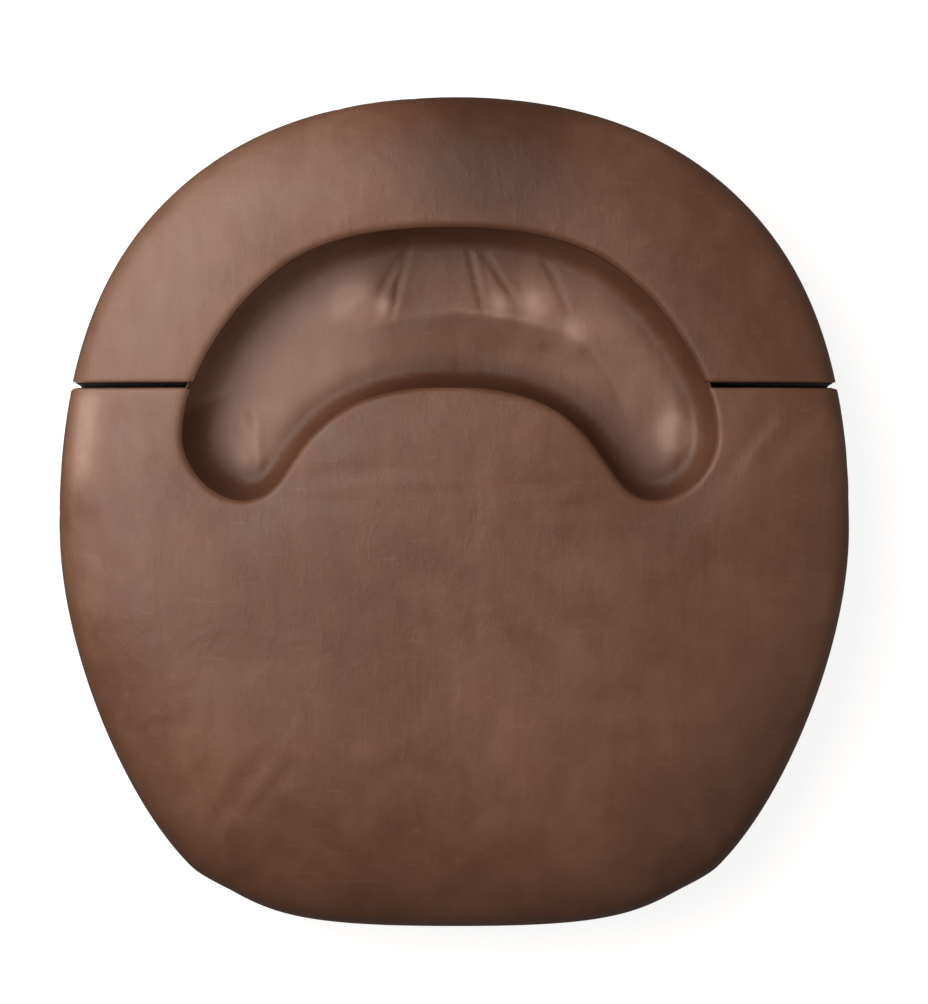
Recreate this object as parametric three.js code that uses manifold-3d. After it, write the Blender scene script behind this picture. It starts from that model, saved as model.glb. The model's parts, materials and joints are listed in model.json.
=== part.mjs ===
import * as THREE from "three";
import { mergeVertices } from "three/addons/utils/BufferGeometryUtils.js";
import Module from "manifold-3d";

const wasm = await Module();
wasm.setup();

// Plan sizes, in mm, about the middle of the cushion.
const halfWidth = 220;
const halfLength = 231.2;
const slitLow = 69.1;
const slitHigh = 72.1;
const linerSplit = 72.7;

// Heights, in mm above the surface the cushion lies on.
const stripTop = 2;
const dustBottom = 2.3;
const dustTop = 3;
const gussetLow = 32;
const gussetHigh = 58;
const hemBottom = 3.3;
const boardBottom = 4.8;
const boardTop = 22.8;
const baseTop = 45;
const coverTop = 78;
const linerFloor = 31;
const linerTop = 73.4;
const troughShiftX = -2.9;
const troughShiftY = -0.9;
const troughScale = 0.99;

// Thicknesses and gaps.
const gap = 0.3;
const skin = 1.2;
const hemWidth = 24;
const edgeRadius = 25;
const rimRadius = 9;

// Slide parts.
const rodX = 180;
const rodRadius = 5;
const rodLow = -82;
const rodHigh = 126;
const tubeRadius = 6.7;
const tubeBore = 5.3;
const tubeLow = -38;
const flangeRadius = 8.2;
const rodHeight = 15.8;
const slideTravel = 40;
const collarLength = 8;
const collarRadius = 6.6;
const strapThickness = 1.6;
const strapWidth = 16;
const strapLength = 38;
const screwPitch = 26;

const group = new THREE.Group();

const materials = {
  vinyl: ["#73543f", 0.42, 0],
  lining: ["#73543f", 0.46, 0],
  softFoam: ["#e6dfc4", 0.95, 0],
  firmFoam: ["#b9c3c9", 0.95, 0],
  board: ["#c9a46f", 0.75, 0],
  dust: ["#1c1c1e", 0.95, 0],
  hook: ["#17181a", 0.85, 0],
  steel: ["#c3c6c9", 0.25, 1],
  zinc: ["#a9adb1", 0.4, 1],
  nylon: ["#e9e7df", 0.5, 0],
};

function place(name, geometry, kind) {
  const [colour, roughness, metalness] = materials[kind];
  const material = new THREE.MeshStandardMaterial({ color: colour, roughness, metalness });
  material.name = kind;
  const mesh = new THREE.Mesh(geometry, material);
  mesh.name = name;
  group.add(mesh);
}

function toSolid(geometry) {
  const bare = geometry.index ? geometry.toNonIndexed() : geometry.clone();
  bare.deleteAttribute("normal");
  bare.deleteAttribute("uv");
  const merged = mergeVertices(bare, 1e-4);
  const mesh = new wasm.Mesh({
    numProp: 3,
    vertProperties: new Float32Array(merged.attributes.position.array),
    triVerts: new Uint32Array(merged.index.array),
  });
  mesh.merge();
  return new wasm.Manifold(mesh);
}

function toGeometry(solid) {
  const mesh = solid.getMesh();
  const geometry = new THREE.BufferGeometry();
  geometry.setAttribute("position", new THREE.BufferAttribute(new Float32Array(mesh.vertProperties), 3));
  geometry.setIndex(new THREE.BufferAttribute(new Uint32Array(mesh.triVerts), 1));
  geometry.computeVertexNormals();
  return geometry;
}

function box(x0, x1, y0, y1, z0, z1) {
  const geometry = new THREE.BoxGeometry(x1 - x0, y1 - y0, z1 - z0);
  geometry.translate((x0 + x1) / 2, (y0 + y1) / 2, (z0 + z1) / 2);
  return geometry;
}

function cylinderZ(radius, x, y, z0, z1, sides) {
  const geometry = new THREE.CylinderGeometry(radius, radius, z1 - z0, sides);
  geometry.rotateX(Math.PI / 2);
  geometry.translate(x, y, (z0 + z1) / 2);
  return geometry;
}

function cylinderY(radius, x, y0, y1, z, sides) {
  const geometry = new THREE.CylinderGeometry(radius, radius, y1 - y0, sides);
  geometry.translate(x, (y0 + y1) / 2, z);
  return geometry;
}

// Curves, right half only, each drawn from the middle line out to the side and back.
function curve(points, steps) {
  const [a, b, c, d] = points.map(([x, y]) => new THREE.Vector2(x, y));
  return new THREE.CubicBezierCurve(a, b, c, d).getPoints(steps);
}

function joined(pieces) {
  const points = [];
  for (const piece of pieces) {
    for (const point of piece) {
      const last = points[points.length - 1];
      if (!last || last.distanceTo(point) > 0.05) {
        points.push(point);
      }
    }
  }
  return points;
}

function mirrored(points) {
  return points.map((p) => new THREE.Vector2(-p.x, p.y)).reverse();
}

const silhouetteRight = joined([
  curve([[0, halfLength], [89.5, halfLength], [140.7, 198.2], [172, 160.4]], 8),
  curve([[172, 160.4], [200, 126.5], [halfWidth, 75], [halfWidth, -9.5]], 7),
  curve([[halfWidth, -9.5], [halfWidth, -69], [187.5, -159], [146.5, -198.5]], 8),
  curve([[146.5, -198.5], [141, -203.2], [131, -208], [124.5, -211.3]], 3),
  curve([[124.5, -211.3], [99, -226], [77, -halfLength], [0, -halfLength]], 6),
]);
const troughOuter = joined([
  curve([[0, 160.4], [65.4, 160.4], [88.3, 144.9], [109.1, 124.6]], 7),
  curve([[109.1, 124.6], [123.8, 110.4], [149, 76], [149, 43.8]], 6),
]);
const troughTip = curve([[149, 43.8], [149, 26.6], [132.4, 7.8], [114.7, 7.8]], 6);
const troughInner = curve([[114.7, 7.8], [79.9, 7.8], [95, 71.2], [0, 71.2]], 10);
const troughRight = joined([troughOuter, troughTip, troughInner]);

// The trough sits a little to the left of the middle. Side is 1 for the right half, and -1
// for the left half before it is mirrored.
function shifted(points, side) {
  return points.map((p) => new THREE.Vector2(
    p.x * troughScale + side * troughShiftX,
    p.y * troughScale + troughShiftY,
  ));
}

// Moves a closed loop inwards (positive) or outwards (negative); loops run clockwise.
function inset(loop, distance) {
  const count = loop.length;
  return loop.map((point, i) => {
    const before = loop[(i + count - 1) % count];
    const after = loop[(i + 1) % count];
    const into = new THREE.Vector2().subVectors(point, before).normalize();
    const out = new THREE.Vector2().subVectors(after, point).normalize();
    const normal = new THREE.Vector2(into.y + out.y, -into.x - out.x).normalize();
    const mitre = Math.max(0.4, normal.x * out.y - normal.y * out.x);
    return normal.clone().multiplyScalar(distance / mitre).add(point);
  });
}

function clean(loop) {
  const points = loop.filter((p, i) => p.distanceTo(loop[(i + 1) % loop.length]) > 0.05);
  return THREE.ShapeUtils.isClockWise(points) ? points : points.reverse();
}

const silhouette = clean([...silhouetteRight, ...mirrored(silhouetteRight)]);
const trough = clean([...shifted(troughRight, 1), ...mirrored(shifted(troughRight, -1))]);

// The edge of the trough below or above a level, from left to right.
function crossing(points, level) {
  for (let i = 1; i < points.length; i += 1) {
    const a = points[i - 1];
    const b = points[i];
    if (a.y >= level && b.y < level) {
      return new THREE.Vector2(a.x + ((b.x - a.x) * (a.y - level)) / (a.y - b.y), level);
    }
  }
  return points[0];
}

const far = 320;
const cornerClear = 13;

function belowSlit() {
  const half = (side) => {
    const outer = shifted(troughOuter, side);
    return [
      new THREE.Vector2(far, -far),
      new THREE.Vector2(far, slitLow),
      crossing(outer, slitLow),
      ...outer.filter((p) => p.y < slitLow - cornerClear),
      ...shifted(troughTip, side),
      ...shifted(troughInner, side),
    ];
  };
  return clean([...half(1), ...mirrored(half(-1))]);
}

function aboveSlit() {
  const half = (side) => {
    const outer = shifted(troughOuter, side);
    return [
      new THREE.Vector2(far, far),
      new THREE.Vector2(far, slitHigh),
      crossing(outer, slitHigh),
      ...outer.filter((p) => p.y > slitHigh + cornerClear).reverse(),
    ];
  };
  return clean([...half(1), ...mirrored(half(-1))]);
}

function prism(loop, z0, z1) {
  const shape = new THREE.Shape(loop);
  const settings = { depth: z1 - z0, bevelEnabled: false, curveSegments: 1 };
  const geometry = new THREE.ExtrudeGeometry(shape, settings);
  geometry.translate(0, 0, z0);
  return toSolid(geometry);
}

// A block whose top edge is rounded: stacked insets of the same loop, joined ring to ring.
function domed(loop, z0, z1, radius, segments) {
  const rings = [{ distance: 0, z: z0 }];
  for (let i = 0; i <= segments; i += 1) {
    const angle = (i / segments) * (Math.PI / 2);
    rings.push({ distance: radius * (1 - Math.cos(angle)), z: z1 - radius + radius * Math.sin(angle) });
  }
  const layers = rings.map((ring) => inset(loop, ring.distance));
  const count = loop.length;
  const positions = [];
  layers.forEach((layer, level) => layer.forEach((p) => positions.push(p.x, p.y, rings[level].z)));
  const index = [];
  for (let level = 0; level + 1 < layers.length; level += 1) {
    for (let i = 0; i < count; i += 1) {
      const next = (i + 1) % count;
      const a = level * count + i;
      const b = level * count + next;
      index.push(a, a + count, b, b, a + count, b + count);
    }
  }
  const bottom = THREE.ShapeUtils.triangulateShape(layers[0], []);
  const top = THREE.ShapeUtils.triangulateShape(layers[layers.length - 1], []);
  const offset = (layers.length - 1) * count;
  const facesUp = (p, [a, b, c]) => {
    const cross = (p[b].x - p[a].x) * (p[c].y - p[a].y) - (p[b].y - p[a].y) * (p[c].x - p[a].x);
    return cross > 0;
  };
  for (const face of bottom) {
    const [a, b, c] = face;
    index.push(...(facesUp(layers[0], face) ? [a, c, b] : [a, b, c]));
  }
  for (const face of top) {
    const [a, b, c] = face.map((i) => i + offset);
    index.push(...(facesUp(layers[layers.length - 1], face) ? [a, b, c] : [a, c, b]));
  }
  const geometry = new THREE.BufferGeometry();
  geometry.setAttribute("position", new THREE.Float32BufferAttribute(positions, 3));
  geometry.setIndex(index);
  return toSolid(geometry);
}

function sideOf(half, distance, z0, z1, radius) {
  const outer = inset(silhouette, distance);
  const inner = inset(half, distance);
  if (!radius) {
    return prism(outer, z0, z1).intersect(prism(inner, z0, z1));
  }
  const outside = domed(outer, z0, z1, edgeRadius - distance, 4);
  const rim = domed(inner, z0, z1, rimRadius - distance, 2);
  return outside.intersect(rim);
}

// Holes for the slide parts in covers, boards and foam.
function rodHoles(solid, radius, y0, y1) {
  let cut = solid;
  for (const side of [-1, 1]) {
    cut = cut.subtract(toSolid(cylinderY(radius, side * rodX, y0, y1, rodHeight, 16)));
  }
  return cut;
}

function channels(solid, halfSize, y0, y1) {
  let cut = solid;
  for (const side of [-1, 1]) {
    const x = side * rodX;
    const z0 = rodHeight - halfSize;
    cut = cut.subtract(toSolid(box(x - halfSize, x + halfSize, y0, y1, z0, boardTop + 5)));
  }
  return cut;
}

const bodyStraps = [44, -16];
const headStraps = [100];
const pocketSize = 1.2;

function strapPockets(solid, centres) {
  let cut = solid;
  for (const side of [-1, 1]) {
    for (const y of centres) {
      const halfX = strapLength / 2 + pocketSize;
      const halfY = strapWidth / 2 + pocketSize;
      const x = side * rodX;
      const pocket = box(x - halfX, x + halfX, y - halfY, y + halfY, boardTop, boardTop + 6);
      cut = cut.subtract(toSolid(pocket));
    }
  }
  return cut;
}

function screwHoles(solid, centres) {
  let cut = solid;
  for (const side of [-1, 1]) {
    for (const y of centres) {
      for (const dx of [-screwPitch / 2, screwPitch / 2]) {
        cut = cut.subtract(toSolid(cylinderZ(2.2, side * rodX + dx, y, boardTop - 12, boardTop + 5, 8)));
      }
    }
  }
  return cut;
}

function buildSide(prefix, half, straps) {
  const outer = sideOf(half, 0, hemBottom, coverTop, true);
  const hollow = sideOf(half, skin, hemBottom + skin, coverTop - skin, true);
  const opening = sideOf(half, hemWidth, hemBottom - 2, hemBottom + 6, false);
  const troughCut = prism(inset(trough, -(skin + gap)), hemBottom - 5, coverTop + 5);
  let cover = outer.subtract(hollow).subtract(opening).subtract(troughCut);
  cover = rodHoles(cover, flangeRadius + gap, slitLow - 8, slitHigh + 8);
  const coverParts = cover.decompose().sort((a, b) => b.volume() - a.volume());
  place(`${prefix}_cover`, toGeometry(coverParts[0]), "vinyl");

  const clearance = skin + gap;
  const soft = sideOf(half, clearance, hemBottom, coverTop - clearance, true).subtract(troughCut);
  const upper = box(-far, far, -far, far, baseTop + gap, coverTop);
  place(`${prefix}_comfort_foam`, toGeometry(soft.intersect(toSolid(upper))), "softFoam");

  const base = sideOf(half, clearance, boardTop + gap, baseTop, false).subtract(troughCut);
  place(`${prefix}_base_foam`, toGeometry(strapPockets(base, straps)), "firmFoam");

  let board = sideOf(half, clearance, boardBottom, boardTop, false).subtract(troughCut);
  if (prefix === "body") {
    board = channels(board, tubeRadius + gap, tubeLow - gap, slitLow + 5);
    board = channels(board, collarRadius + gap, rodLow - 4, tubeLow - gap + 0.01);
    for (const [x, y] of [[0, -20], [-70, -70], [70, -70], [0, -130], [-90, -150], [90, -150]]) {
      board = board.subtract(toSolid(cylinderZ(8, x, y, boardBottom - 2, boardTop + 2, 16)));
    }
  } else {
    board = channels(board, rodRadius + gap, slitHigh - 5, rodHigh + gap);
  }
  board = screwHoles(board, straps);
  place(`${prefix}_board`, toGeometry(board), "board");

  const cloth = sideOf(half, 9, dustBottom, dustTop, false);
  const clothCut = prism(inset(trough, -9), dustBottom - 2, dustTop + 2);
  const clothParts = cloth.subtract(clothCut).decompose().sort((a, b) => b.volume() - a.volume());
  place(`${prefix}_dust_cover`, toGeometry(clothParts[0]), "dust");
}

buildSide("body", belowSlit(), bodyStraps);
buildSide("head", aboveSlit(), headStraps);

// The trough lining, one cup cut in two at the slit line.
function buildLining() {
  const outside = prism(inset(trough, -skin), linerFloor, linerTop);
  const inside = prism(trough, linerFloor + skin, linerTop + 5);
  const cup = outside.subtract(inside);
  const low = toSolid(box(-far, far, -far, linerSplit, 0, 100));
  const high = toSolid(box(-far, far, linerSplit + gap, far, 0, 100));
  place("body_trough_lining", toGeometry(cup.intersect(low)), "lining");
  place("head_trough_lining", toGeometry(cup.intersect(high)), "lining");
}

buildLining();

function buildSlide(side, word) {
  const x = side * rodX;
  const rodLength = rodHigh - rodLow;
  const rod = new THREE.LatheGeometry(
    [
      new THREE.Vector2(0, 0),
      new THREE.Vector2(rodRadius - 1, 0),
      new THREE.Vector2(rodRadius, 1),
      new THREE.Vector2(rodRadius, rodLength - 1),
      new THREE.Vector2(rodRadius - 1, rodLength),
      new THREE.Vector2(0, rodLength),
    ],
    16,
  );
  rod.translate(x, rodLow, rodHeight);
  place(`guide_rod_${word}`, rod, "steel");

  const flangeStart = slitLow - skin - gap;
  const flangeEnd = slitHigh + skin + gap - 0.25;
  let tube = toSolid(cylinderY(tubeRadius, x, tubeLow, flangeEnd, rodHeight, 16));
  tube = tube.add(toSolid(cylinderY(flangeRadius, x, flangeStart + 0.3, flangeEnd, rodHeight, 16)));
  tube = tube.subtract(toSolid(cylinderY(tubeBore, x, tubeLow - 5, flangeEnd + 5, rodHeight, 16)));
  place(`guide_tube_${word}`, toGeometry(tube), "nylon");

  const collarEnd = tubeLow - slideTravel;
  const collarStart = collarEnd - collarLength + 4;
  let collar = toSolid(cylinderY(collarRadius, x, collarStart, collarEnd - 0.3, rodHeight, 16));
  collar = collar.subtract(toSolid(cylinderY(rodRadius + 0.1, x, -far, far, rodHeight, 16)));
  place(`stop_collar_${word}`, toGeometry(collar), "zinc");

  const rows = [
    ...bodyStraps.map((y, i) => ({ owner: "tube_strap", y, letter: i === 0 ? "front" : "rear" })),
    ...headStraps.map((y) => ({ owner: "rod_strap", y, letter: "" })),
  ];
  for (const { owner, y, letter } of rows) {
    const tail = letter ? `${word}_${letter}` : word;
    const z0 = boardTop + gap;
    const z1 = z0 + strapThickness;
    const halfX = strapLength / 2;
    let strap = toSolid(box(x - halfX, x + halfX, y - strapWidth / 2, y + strapWidth / 2, z0, z1));
    for (const dx of [-screwPitch / 2, screwPitch / 2]) {
      strap = strap.subtract(toSolid(cylinderZ(2.3, x + dx, y, z0 - 2, z1 + 2, 10)));
    }
    place(`${owner}_${tail}`, toGeometry(strap), "zinc");
    for (const [dx, hand] of [[-screwPitch / 2, "a"], [screwPitch / 2, "b"]]) {
      const screw = new THREE.LatheGeometry(
        [
          new THREE.Vector2(0, boardTop - 11),
          new THREE.Vector2(1.9, boardTop - 8),
          new THREE.Vector2(1.9, z1 + gap),
          new THREE.Vector2(4, z1 + gap),
          new THREE.Vector2(3.4, z1 + gap + 1.8),
          new THREE.Vector2(0, z1 + gap + 2.4),
        ],
        8,
      );
      screw.rotateX(Math.PI / 2);
      screw.translate(x + dx, y, 0);
      place(`${owner}_screw_${tail}_${hand}`, screw, "zinc");
    }
  }
}

buildSlide(-1, "left");
buildSlide(1, "right");

// Folded black gussets that close the slits between the two covers.
const gussetFront = slitLow + gap;
const gussetBack = slitHigh - gap;
place("slit_gusset_left", box(-207, -149, gussetFront, gussetBack, gussetLow, gussetHigh), "dust");
place("slit_gusset_right", box(144, 207, gussetFront, gussetBack, gussetLow, gussetHigh), "dust");

// Hook strips on the underside, what the cushion rests on.
const stripWidth = 25;
place("body_hook_strip_left", box(-150, -150 + stripWidth, -120, 0, 0, stripTop), "hook");
place("body_hook_strip_right", box(150 - stripWidth, 150, -120, 0, 0, stripTop), "hook");
place("body_hook_strip_rear", box(-70, 70, -190, -190 + stripWidth, 0, stripTop), "hook");
place("head_hook_strip_left", box(-120, -60, 172, 172 + 20, 0, stripTop), "hook");
place("head_hook_strip_right", box(60, 120, 172, 172 + 20, 0, stripTop), "hook");

export default group;
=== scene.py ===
import json
import math
import random

import bpy
import numpy as np
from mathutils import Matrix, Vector
from mathutils.geometry import delaunay_2d_cdt


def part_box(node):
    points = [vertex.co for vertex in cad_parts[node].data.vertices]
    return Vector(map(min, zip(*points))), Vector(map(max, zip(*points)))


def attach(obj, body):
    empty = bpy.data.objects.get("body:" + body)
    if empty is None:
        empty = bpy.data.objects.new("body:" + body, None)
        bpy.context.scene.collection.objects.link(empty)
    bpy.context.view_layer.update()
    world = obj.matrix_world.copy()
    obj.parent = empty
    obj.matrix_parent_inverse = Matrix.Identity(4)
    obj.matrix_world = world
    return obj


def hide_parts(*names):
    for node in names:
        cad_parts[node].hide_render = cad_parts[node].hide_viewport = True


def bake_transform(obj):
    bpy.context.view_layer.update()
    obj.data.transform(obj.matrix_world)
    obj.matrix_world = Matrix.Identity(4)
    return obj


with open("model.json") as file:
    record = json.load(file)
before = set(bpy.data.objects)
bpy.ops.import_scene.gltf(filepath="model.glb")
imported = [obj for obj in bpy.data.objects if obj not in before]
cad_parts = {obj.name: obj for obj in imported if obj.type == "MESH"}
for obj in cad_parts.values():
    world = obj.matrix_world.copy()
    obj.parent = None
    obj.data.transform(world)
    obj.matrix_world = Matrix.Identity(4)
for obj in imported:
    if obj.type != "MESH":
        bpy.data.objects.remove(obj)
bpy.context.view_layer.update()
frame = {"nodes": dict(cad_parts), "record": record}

nodes = frame["nodes"]
bodySide, headSide = "body_section", "head_section"
mm = 0.001
print("frame loaded:", len(nodes), "nodes")


# outlines, in millimetres about the middle of the cushion

plan = {
    "halfWidth": 220.0,
    "halfLength": 231.2,
    "slitLow": 69.1,      # body side of the slits
    "slitHigh": 72.1,     # head side of the slits
    "cornerSoftness": 1,  # rounds of smoothing at the corners of the slits
    "troughShift": (-2.9, -0.9),
    "troughScale": 0.99,
}


def bezier(a, b, c, d, steps=60):
    t = np.linspace(0, 1, steps)[:, None]
    a, b, c, d = (np.array(p, float) for p in (a, b, c, d))
    return (1 - t) ** 3 * a + 3 * (1 - t) ** 2 * t * b + 3 * (1 - t) * t * t * c + t ** 3 * d


def chained(*parts):
    # curves in a row, each starting where the last one ended
    rows = [parts[0]]
    for part in parts[1:]:
        rows.append(part[1:])
    return np.concatenate(rows)


def bothHalves(right):
    left = right[::-1] * (-1, 1)
    return np.concatenate([right, left[1:-1]])


def evenly(loop, spacing, closed=True):
    # the same line again, with its points at even steps
    points = np.concatenate([loop, loop[:1]]) if closed else loop
    steps = np.linalg.norm(np.diff(points, axis=0), axis=1)
    along = np.concatenate([[0], np.cumsum(steps)])
    count = max(8, int(round(along[-1] / spacing)))
    places = np.linspace(0, along[-1], count + 1)
    if closed:
        places = places[:-1]
    return np.stack([np.interp(places, along, points[:, k]) for k in (0, 1)], axis=1)


def softened(loop, passes):
    for _ in range(passes):
        loop = 0.25 * np.roll(loop, 1, 0) + 0.5 * loop + 0.25 * np.roll(loop, -1, 0)
    return loop


w, h = plan["halfWidth"], plan["halfLength"]
lineStep = 1.0    # between the points of the dense outlines
blockSize = 1500  # how many points are compared at a time
outlineRight = chained(
    bezier((0, h), (89.5, h), (140.7, 198.2), (172, 160.4)),
    bezier((172, 160.4), (200, 126.5), (w, 75), (w, -9.5)),
    bezier((w, -9.5), (w, -69), (187.5, -159), (146.5, -198.5)),
    bezier((146.5, -198.5), (141, -203.2), (131, -208), (124.5, -211.3), 12),
    bezier((124.5, -211.3), (99, -226), (77, -h), (0, -h)),
)
troughRight = chained(
    bezier((0, 160.4), (65.4, 160.4), (88.3, 144.9), (109.1, 124.6)),
    bezier((109.1, 124.6), (123.8, 110.4), (149, 76), (149, 43.8)),
    bezier((149, 43.8), (149, 26.6), (132.4, 7.8), (114.7, 7.8), 30),
    bezier((114.7, 7.8), (79.9, 7.8), (95, 71.2), (0, 71.2), 90),
)
outline = evenly(bothHalves(outlineRight), lineStep)
trough = evenly(bothHalves(troughRight) * plan["troughScale"] + plan["troughShift"], lineStep)


def xAt(loop, level, side=1):
    # how far out a loop reaches on one side at a level
    near = loop[np.abs(loop[:, 1] - level) < 1.5 * lineStep]
    return float((near[:, 0] * side).max())


def rolled(points):
    # a cut loop has one large jump: start just after it
    jumps = np.linalg.norm(points - np.roll(points, 1, 0), axis=1)
    return np.roll(points, -int(np.argmax(jumps)), axis=0)


def sectionLoop(level, side):
    # the edge of one section: its part of the outline, a slit, its part of the trough, a slit
    bars = {}
    for edgeSide in (-1, 1):
        reach = np.arange(xAt(outline, level, edgeSide), xAt(trough, level, edgeSide), -lineStep)
        bars[edgeSide] = np.stack([reach * edgeSide, np.full(len(reach), level)], 1)
    # walk both edges in their own order, starting where each crosses the slit
    ringOuter = rolled(outline[side * (outline[:, 1] - level) > 0])
    ringInner = rolled(trough[side * (trough[:, 1] - level) > 0])
    if ringOuter[0, 0] < 0:
        ringOuter = ringOuter[::-1]
    if ringInner[0, 0] > 0:
        ringInner = ringInner[::-1]
    loop = np.concatenate([ringOuter, bars[-1], ringInner, bars[1][::-1]])
    return softened(evenly(loop, lineStep), plan["cornerSoftness"])


bodyLoop = sectionLoop(plan["slitLow"], -1)
headLoop = sectionLoop(plan["slitHigh"], 1)
print("outlines drawn")


def awayFrom(points, loop):
    # the distance from each point to the nearest point of a dense loop
    out = np.empty(len(points))
    for start in range(0, len(points), blockSize):
        block = points[start:start + blockSize]
        gaps = ((block[:, None, :] - loop[None]) ** 2).sum(2)
        out[start:start + blockSize] = np.sqrt(gaps.min(1))
    return out


def within(points, loop):
    # which points lie inside a loop, by how often a line to the right crosses it
    a, b = loop, np.roll(loop, -1, 0)
    out = np.zeros(len(points), bool)
    for start in range(0, len(points), blockSize):
        block = points[start:start + blockSize]
        x, y = block[:, 0][:, None], block[:, 1][:, None]
        crosses = (a[:, 1] > y) != (b[:, 1] > y)
        with np.errstate(divide="ignore", invalid="ignore"):
            cut = (b[:, 0] - a[:, 0]) * (y - a[:, 1]) / (b[:, 1] - a[:, 1]) + a[:, 0]
        out[start:start + blockSize] = (crosses & (x < cut)).sum(1) % 2 == 1
    return out


def loopNormals(loop):
    # unit vectors that point into the loop
    run = np.roll(loop, -1, 0) - np.roll(loop, 1, 0)
    normal = np.stack([-run[:, 1], run[:, 0]], 1)
    normal /= np.linalg.norm(normal, axis=1)[:, None]
    test = within(loop[:1] + normal[:1] * 1.5, loop)
    return normal if test[0] else -normal


def planMesh(loop, edgeSpacing, rings, spacing):
    # a flat mesh inside a loop: the edge first, then rings close to it, then a hexagonal fill
    edge = evenly(loop, edgeSpacing)
    normals = loopNormals(edge)
    layers = [edge]
    for ring in rings:
        moved = edge + normals * ring
        moved = moved[within(moved, loop)]
        moved = moved[awayFrom(moved, loop) > ring * 0.93]
        layers.append(moved)
    low, high = loop.min(0), loop.max(0)
    rows = []
    for i, y in enumerate(np.arange(low[1], high[1], spacing * 0.866)):
        x = np.arange(low[0] + (i % 2) * spacing / 2, high[0], spacing)
        rows.append(np.stack([x, np.full(len(x), y)], 1))
    fill = np.concatenate(rows)
    fill = fill[within(fill, loop)]
    fill = fill[awayFrom(fill, loop) > rings[-1] + spacing * 0.7]
    layers.append(fill)
    points = np.concatenate(layers)
    count = len(edge)
    edges = [(i, (i + 1) % count) for i in range(count)]
    made = delaunay_2d_cdt([Vector(p) for p in points.tolist()], edges, [], 1, 1e-4)
    flat = np.array([tuple(p) for p in made[0]], float)
    faces = np.array([tuple(f) for f in made[2]], int)
    order = np.full(count, -1)  # where the points of the edge went
    for new, olds in enumerate(made[3]):
        for old in olds:
            if old < count:
                order[old] = new
    a, b, c = (flat[faces[:, k]] for k in range(3))
    up = (b[:, 0] - a[:, 0]) * (c[:, 1] - a[:, 1]) - (b[:, 1] - a[:, 1]) * (c[:, 0] - a[:, 0])
    faces[up < 0] = faces[up < 0][:, ::-1]
    return flat, faces, order


def makeObject(name, points, faces):
    mesh = bpy.data.meshes.new(name)
    mesh.from_pydata((np.asarray(points) * mm).tolist(), [], [list(map(int, f)) for f in faces])
    mesh.update()
    piece = bpy.data.objects.new(name, mesh)
    bpy.context.scene.collection.objects.link(piece)
    for polygon in mesh.polygons:
        polygon.use_smooth = True
    return piece


def choose(piece):
    bpy.ops.object.select_all(action="DESELECT")
    piece.hide_viewport = False
    piece.select_set(True)
    bpy.context.view_layer.objects.active = piece


def faceOutwards(piece):
    choose(piece)
    bpy.ops.object.mode_set(mode="EDIT")
    bpy.ops.mesh.select_all(action="SELECT")
    bpy.ops.mesh.normals_make_consistent(inside=False)
    bpy.ops.object.mode_set(mode="OBJECT")


def applyAll(piece):
    choose(piece)
    for modifier in list(piece.modifiers):
        bpy.ops.object.modifier_apply(modifier=modifier.name)


def selectOnly(piece, kind, flags):
    # goes into edit mode with just these edges or faces selected
    choose(piece)
    bpy.ops.object.mode_set(mode="EDIT")
    bpy.ops.mesh.select_mode(type=kind)
    bpy.ops.mesh.select_all(action="DESELECT")
    bpy.ops.object.mode_set(mode="OBJECT")
    parts = piece.data.edges if kind == "EDGE" else piece.data.polygons
    parts.foreach_set("select", flags)
    bpy.ops.object.mode_set(mode="EDIT")


def thicken(piece, thickness, offset=-1):
    thick = piece.modifiers.new("skin", "SOLIDIFY")
    thick.thickness = thickness * mm
    thick.offset = offset
    applyAll(piece)


def ease(piece, width, smooth):
    # small rounded edges, and shading that stays sharp past an angle
    eased = piece.modifiers.new("eased", "BEVEL")
    eased.width = width * mm
    eased.segments = 2
    eased.limit_method = "ANGLE"
    eased.angle_limit = math.radians(50)
    applyAll(piece)
    bpy.ops.object.shade_smooth_by_angle(angle=math.radians(smooth))


def coordinates(piece):
    out = np.empty(len(piece.data.vertices) * 3)
    piece.data.vertices.foreach_get("co", out)
    return out.reshape(-1, 3) / mm


def setCoordinates(piece, points):
    piece.data.vertices.foreach_set("co", (points * mm).ravel())
    piece.data.update()


def step(x, low, high):
    # a smooth rise from 0 at low to 1 at high
    t = np.clip((np.asarray(x, float) - low) / (high - low), 0, 1)
    return t * t * (3 - 2 * t)


# the two cushions

cushion = {
    "top": 78.5,          # height of the middle of the padding, mm
    "bottom": 3.3,        # underside of the hem
    "bottomRoll": 2.5,    # rounding where the cover turns under
    "edgeRoll": 9.0,      # radius of the tight outer edge
    "shoulder": 9.0,      # how far the padding falls towards the sides
    "rearShoulder": 17.0,
    "shoulderWidth": 26.0,
    "crown": 6.0,         # the slow rise towards the middle
    "crownWidth": 70.0,
    "rimRoll": 3.2,       # rounding where the cover turns into the trough
    "slitRoll": 1.5,      # rounding at the slits
    "troughSink": 1.6,    # how much lower the padding lies beside the trough
    "slitSink": 0.7,      # and beside the slits
    "unevenness": 0.3,
    "hem": 24.0,          # width of the cover's edge under the board
    "hemTop": 8.0,        # faces below this height are the underside
    "seam": 62.0,         # where the lining is sewn on inside the trough
    "boardTop": 22.0,     # the cover is held up to this height
    "skin": 1.2,
    "wallLevels": 12,
    "pressure": 4.0,
    "frames": 20,         # length of the simulation
    "swell": 1.6,         # how far the simulation may move a point
    "sideways": 0.6,      # and how much of that may be outwards
    "edgeSpacing": 3.0,   # size of the faces along the edges
    "spacing": 3.8,       # and in the middle
}


def roll(distance, width, height):
    # a quarter round: the full height at the edge and nothing from width onwards
    t = 1 - np.clip(distance / width, 0, 1)
    return height * (1 - np.sqrt(np.clip(1 - t * t, 0, 1)))


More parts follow.
